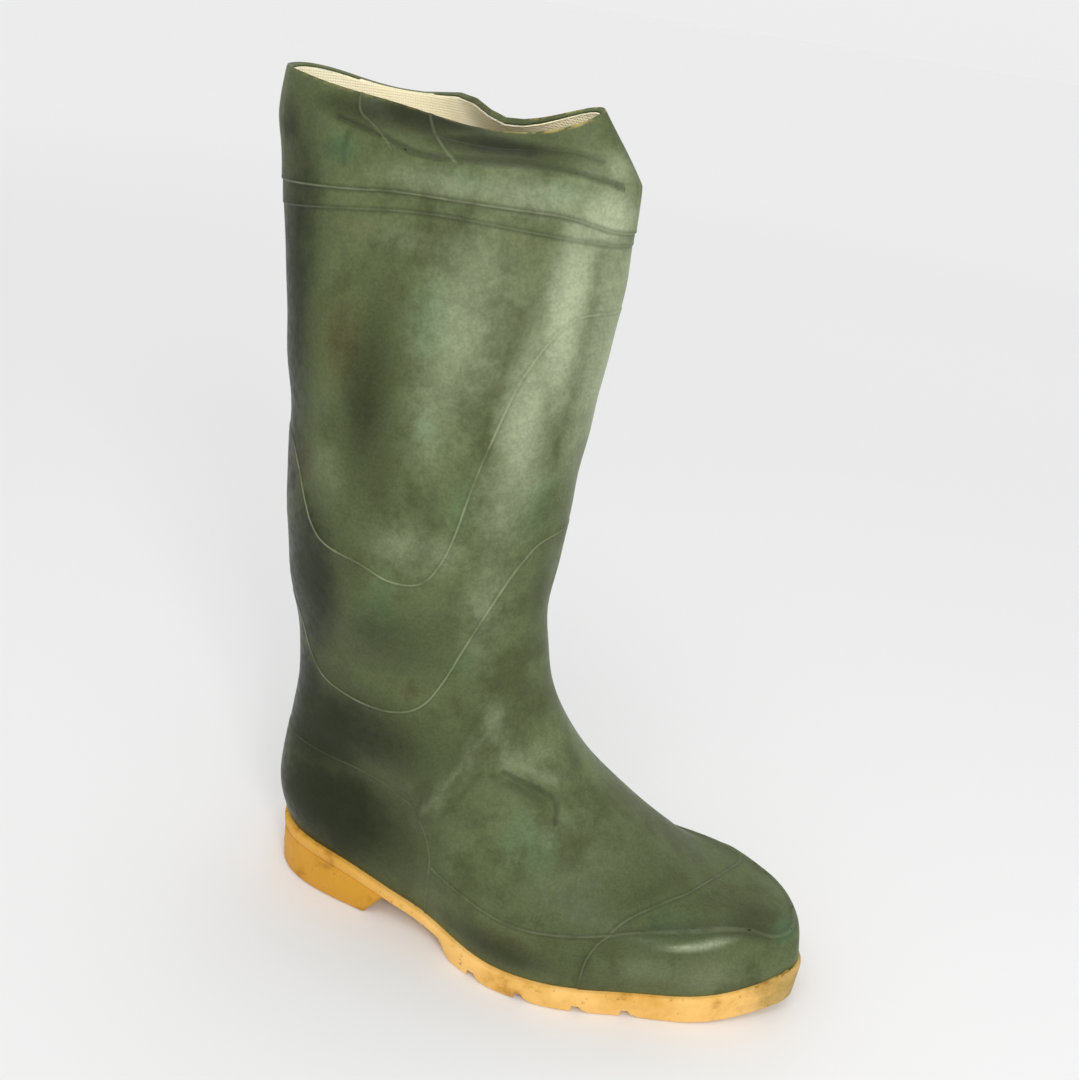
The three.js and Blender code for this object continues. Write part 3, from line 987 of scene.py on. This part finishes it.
def lower_border(mesh):
    """The places of the skin's lower border, in order round the foot."""
    mesh.edges.index_update()
    loose = {e for e in border_of(mesh.faces) if e.verts[0].co.z < HEIGHT / 2}
    edge = min(loose, key=lambda e: e.index)
    loose.discard(edge)
    vert = edge.verts[0]
    ordered = [vert.co.copy()]
    while loose:
        vert = edge.other_vert(vert)
        ordered.append(vert.co.copy())
        edge = next((e for e in vert.link_edges if e in loose), None)
        if edge is None:
            break
        loose.discard(edge)
    return np.array(ordered)


outline = marks(lower_border(skin))
turn = np.roll(outline, -1, 0) - np.roll(outline, 1, 0)
outward = np.stack([turn[:, 1], -turn[:, 0]], 1) / np.linalg.norm(turn[:, :2], axis=1)[:, None]
if (outward * (outline[:, :2] - outline[:, :2].mean(0))).sum() < 0:
    outward = -outward
by_length = np.argsort(outline[:, 0])
UPPER_GAP = 0.3  # the CAD upper stands this far off the sole


def sole_top(along):
    return np.interp(along, outline[by_length, 0], outline[by_length, 2] - UPPER_GAP)


def ringed_solid(rings, stations):
    """rings: (how far outside the foot, height along the foot). Sliced at the stations."""
    mesh = bmesh.new()
    ring_of = mesh.verts.layers.int.new("ring")
    mark_of = mesh.verts.layers.int.new("mark")
    loop = [mesh.verts.new((0, 0, 0)) for _ in outline]
    for index, vert in enumerate(loop):
        vert[mark_of] = index
    edges = [mesh.edges.new((a, b)) for a, b in zip(loop, loop[1:] + loop[:1])]
    bmesh.ops.contextual_create(mesh, geom=edges)
    for ring, (out, _) in enumerate(rings):
        if ring:
            made = bmesh.ops.extrude_edge_only(mesh, edges=edges)["geom"]
            loop = [g for g in made if isinstance(g, bmesh.types.BMVert)]
            ends = set(loop)
            edges = [g for g in made if isinstance(g, bmesh.types.BMEdge) and set(g.verts) <= ends]
        for vert in loop:
            along, across = outline[vert[mark_of], :2] + outward[vert[mark_of]] * out
            vert.co = spot(along, across, ring)
            vert[ring_of] = ring
    bmesh.ops.contextual_create(mesh, geom=edges)
    for station in stations:
        everything = mesh.verts[:] + mesh.edges[:] + mesh.faces[:]
        place = spot(station, 0, 0)
        bmesh.ops.bisect_plane(mesh, geom=everything, plane_co=place, plane_no=(1, 0, 0), dist=1e-6)
    for vert in mesh.verts:
        along = (vert.co.x - HEEL_END) / MM
        vert.co.z = rings[vert[ring_of]][1](along) * MM
    bmesh.ops.recalc_face_normals(mesh, faces=mesh.faces)
    if mesh.calc_volume(signed=True) < 0:
        bmesh.ops.reverse_faces(mesh, faces=mesh.faces)
    return mesh


print(f"outline of {len(outline)} marks, {outline[:, 0].max():.0f} mm long")

# %% [markdown]
# The insole is a felt pad under the same knit, with soft edges and a shallow dish worn
# where the heel and the ball of the foot press.

# %% Insole
INSOLE_THICK = 4.3
INSOLE_INSET = -5.2


def dished(depth):
    def height(along):
        worn = depth * (soft(along - 35, 28) + soft(along - 205, 35))
        return sole_top(along) + INSOLE_THICK - worn
    return height


insole_mesh = ringed_solid(
    [
        (INSOLE_INSET, lambda along: sole_top(along) + UPPER_GAP),
        (INSOLE_INSET, lambda along: sole_top(along) + INSOLE_THICK - 1.4),
        (INSOLE_INSET - 0.6, lambda along: sole_top(along) + INSOLE_THICK - 0.4),
        (INSOLE_INSET - 2, dished(0)),
        (INSOLE_INSET - 9, dished(0.7)),
    ],
    range(9, 300, 6),
)


def felt():
    finish = Finish("felt_insole")
    cloud = finish.noise(14, detail=5)
    fuzz = finish.noise(0.6, detail=4)
    colour = finish.blend(cloud.ramp(0.35, 0.65), shade_of(196, 182, 142), shade_of(168, 152, 112))
    colour = finish.blend(fuzz.ramp(0.35, 0.65) * 0.4, colour, shade_of(140, 124, 90))
    bump = finish.node("Bump", {}, {"Strength": 0.8, "Distance": 1, "Height": fuzz * 0.0004})
    return finish.surface(base_color=colour, roughness=0.95, normal=bump)


piece(insole_mesh, "felt_insole", felt(), "insole")

# %% [markdown]
# ## The gum sole
#
# The outsole is one moulding: a thin strip over the heel and the waist that thickens
# into the forefoot, where cross grooves divide it into lugs. Behind each groove the
# rubber stands square; before it the lug's edge is rounded off by wear.

# %% Outsole
STRIP = 6.6
SOLE_OUT = 3.5
TREAD_RISE = (107, 118)
GROOVES = (130, 157, 187, 212)
GROOVE_DEPTH = 3.5
GROOVE_PROFILE = [(-2.3, 0), (-1.8, 1), (1.6, 1), (3.2, 0.45), (7.5, 0)]
SPRING_START = 235
SPRING_RISE = 9


def tread(along):
    """Height of the sole's underside."""
    strip = sole_top(along) - STRIP
    past = np.maximum(along - SPRING_START, 0)
    spring = SPRING_RISE * (past / (LENGTH / MM - SPRING_START)) ** 2
    share = ease(along, *TREAD_RISE)
    offsets, depths = zip(*GROOVE_PROFILE)
    cut = sum(np.interp(along - groove, offsets, depths, 0, 0) for groove in GROOVES)
    return strip * (1 - share) + spring * share + GROOVE_DEPTH * cut


stations = sorted(
    {*range(3, 300, 6)}
    | {groove + offset for groove in GROOVES for offset, _ in GROOVE_PROFILE}
    | {TREAD_RISE[0] + step * 1.25 for step in range(9)}
)
outsole_mesh = ringed_solid(
    [
        (-4, lambda along: sole_top(along)),
        (-0.4, lambda along: sole_top(along) + 0.25),
        (2.6, lambda along: sole_top(along) + 0.1),
        (3.3, lambda along: sole_top(along) - 0.35),
        (SOLE_OUT, lambda along: sole_top(along) - 1.2),
        (SOLE_OUT + 0.1, lambda along: sole_top(along) - STRIP / 2),
        (SOLE_OUT, lambda along: tread(along) + 1.5),
        (3.1, lambda along: tread(along) + 0.5),
        (2.1, lambda along: tread(along)),
    ],
    stations,
)
print("outsole:", len(outsole_mesh.faces), "faces")

# %% [markdown]
# The heel block carries on below the strip. It starts as the same outline, and a
# slanting cut takes off everything before its breast; the new edges are then rounded.

# %% Heel block
HEEL_OUT = 2.9
BREAST_TOP = 73.5
BREAST_FLOOR = 62.5
BREAST_ROUND = 5
SIDE_ROUND = 3


def block_top(along):
    return sole_top(along) - STRIP - 0.15


heel_mesh = ringed_solid(
    [
        (HEEL_OUT - 0.8, block_top),
        (HEEL_OUT, lambda along: block_top(along) - 0.8),
        (HEEL_OUT + 0.3, lambda along: 10),
        (HEEL_OUT, lambda along: 1.8),
        (HEEL_OUT - 0.6, lambda along: 0.5),
        (HEEL_OUT - 2, lambda along: 0),
    ],
    range(3, 90, 6),
)
breast_height = block_top(BREAST_TOP)


def shave(mesh, place, away):
    """Cuts off all that lies beyond a plane, and closes the cut."""
    everything = mesh.verts[:] + mesh.edges[:] + mesh.faces[:]
    made = bmesh.ops.bisect_plane(
        mesh, geom=everything, plane_co=place, plane_no=away, clear_outer=True
    )
    rim = [g for g in made["geom_cut"] if isinstance(g, bmesh.types.BMEdge)]
    if rim:
        bmesh.ops.contextual_create(mesh, geom=rim)


def round_corner(mesh, corner, first, second, radius):
    """Shaves the edge between two sides, whose outward directions are given, to a round."""
    middle = corner - (first + second) * radius * MM / (1 + first.dot(second))
    for share in (0.25, 0.5, 0.75):
        away = first.slerp(second, share)
        shave(mesh, middle + away * radius * MM, away)


slant = math.atan2(BREAST_TOP - BREAST_FLOOR, breast_height)
breast_away = Vector((math.cos(slant), 0, -math.sin(slant)))
shave(heel_mesh, spot(BREAST_FLOOR, 0, 0), breast_away)
round_corner(heel_mesh, spot(BREAST_FLOOR, 0, 0), breast_away, Vector((0, 0, -1)), BREAST_ROUND)
half_way = (BREAST_FLOOR + BREAST_TOP) / 2
for side in (OUTER, INNER):
    on_side = np.where(outline[:, 1] * side > 0, np.abs(outline[:, 0] - half_way), LENGTH / MM)
    at_wall = on_side.argmin()
    wall = Vector((*outward[at_wall], 0))
    across = outline[at_wall, 1] + wall.y * HEEL_OUT
    edge_middle = spot(half_way, across, breast_height / 2)
    round_corner(heel_mesh, edge_middle, breast_away, wall, SIDE_ROUND)
print("heel block cut at its breast, sloping", round(math.degrees(slant)), "degrees")
bmesh.ops.recalc_face_normals(heel_mesh, faces=heel_mesh.faces)
print("heel block closed:", all(len(e.link_faces) == 2 for e in heel_mesh.edges))

# %% [markdown]
# Gum rubber is honey coloured where it flexes clean and ochre where dirt has rubbed in:
# darkest at the heel, pale and orange under the ball, stained olive at the toe end.

# %% Gum rubber finish
HONEY = shade_of(250, 200, 116)
AMBER = shade_of(208, 152, 48)
OCHRE = shade_of(216, 154, 40)
RUST = shade_of(150, 94, 26)
MUD = shade_of(152, 130, 70)


def gum_rubber(name, clean, dirty):
    finish = Finish(name)
    cloud = finish.noise(30, detail=4)
    patch = finish.noise(9, detail=6, rough=0.6, shift=(0.2, 0.5, 0.1))
    speck = finish.noise(1.4, detail=3)
    grain = finish.noise(0.5, detail=2)
    along = finish.node("SeparateXYZ", {}, {0: finish.place()}, output="X")
    broken = (patch - 0.5) * 0.5
    colour = finish.blend((cloud * 0.5 + patch * 0.5).ramp(0.42, 0.66) * 0.7, clean, dirty)
    colour = finish.blend((along * -6.0 + broken).ramp(0.1, 0.55) * 0.75, colour, AMBER)
    colour = finish.blend((along + broken * 0.12).ramp(0.118, 0.162) * 0.85, colour, MUD)
    colour = finish.blend(patch.ramp(0.54, 0.7) * 0.5, colour, RUST)
    colour = finish.blend(speck.ramp(0.62, 0.74) * 0.55, colour, RUST)
    height = grain * 0.00008 + speck * 0.00008 + patch * 0.0004
    bump = finish.node("Bump", {}, {"Strength": 0.6, "Distance": 1, "Height": height})
    roughness = patch.ramp(0.3, 0.7, 0.48, 0.62)
    return finish.surface(
        base_color=colour, roughness=roughness, normal=bump, specular_ior_level=0.2
    )


sole_gum = gum_rubber("gum_sole", HONEY, AMBER)
piece(outsole_mesh, "gum_outsole", sole_gum, "outsole")
heel_gum = gum_rubber("heel_rubber", OCHRE, RUST)
piece(heel_mesh, "heel_block", heel_gum, "heel")
